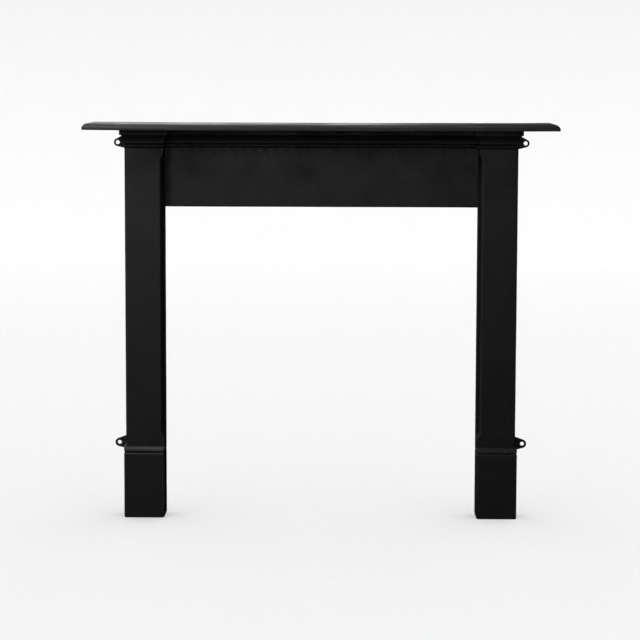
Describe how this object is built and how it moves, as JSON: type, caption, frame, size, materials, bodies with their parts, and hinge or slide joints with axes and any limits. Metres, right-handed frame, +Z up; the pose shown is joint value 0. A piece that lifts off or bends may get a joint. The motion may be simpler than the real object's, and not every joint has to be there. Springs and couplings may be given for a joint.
{
  "type": "fireplace surround",
  "caption": "Cast iron fireplace surround: moulded mantel shelf, plain frieze, legs with stopped chamfers and foot blocks, bolted from behind and fixed to the wall through cast ears.",
  "frame": {"origin": "on the floor, midway across the width and midway between the wall plane and the front of the shelf", "axes": "+X along the wall to the viewer's right, +Y towards the wall (the front faces -Y), +Z up"},
  "size_m": [1.359, 0.208, 1.158],
  "materials": {
    "black_iron": "satin black painted cast iron with a fine sand-cast grain",
    "zinc_fasteners": "dull zinc-plated steel"
  },
  "bodies": {
    "root": {"mantel_shelf": "black_iron", "frieze": "black_iron", "left_leg": "black_iron", "right_leg": "black_iron", "left_foot_block": "black_iron", "right_foot_block": "black_iron", "shelf_bolts_left": "zinc_fasteners", "shelf_bolts_middle": "zinc_fasteners", "shelf_bolts_right": "zinc_fasteners", "shelf_washers_left": "zinc_fasteners", "shelf_washers_middle": "zinc_fasteners", "shelf_washers_right": "zinc_fasteners", "frieze_bolts_left": "zinc_fasteners", "frieze_washers_left": "zinc_fasteners", "frieze_nuts_left": "zinc_fasteners", "frieze_bolts_right": "zinc_fasteners", "frieze_washers_right": "zinc_fasteners", "frieze_nuts_right": "zinc_fasteners", "foot_bolts_left": "zinc_fasteners", "foot_washers_left": "zinc_fasteners", "foot_nuts_left": "zinc_fasteners", "foot_bolts_right": "zinc_fasteners", "foot_washers_right": "zinc_fasteners", "foot_nuts_right": "zinc_fasteners"}
  },
  "joints": []
}
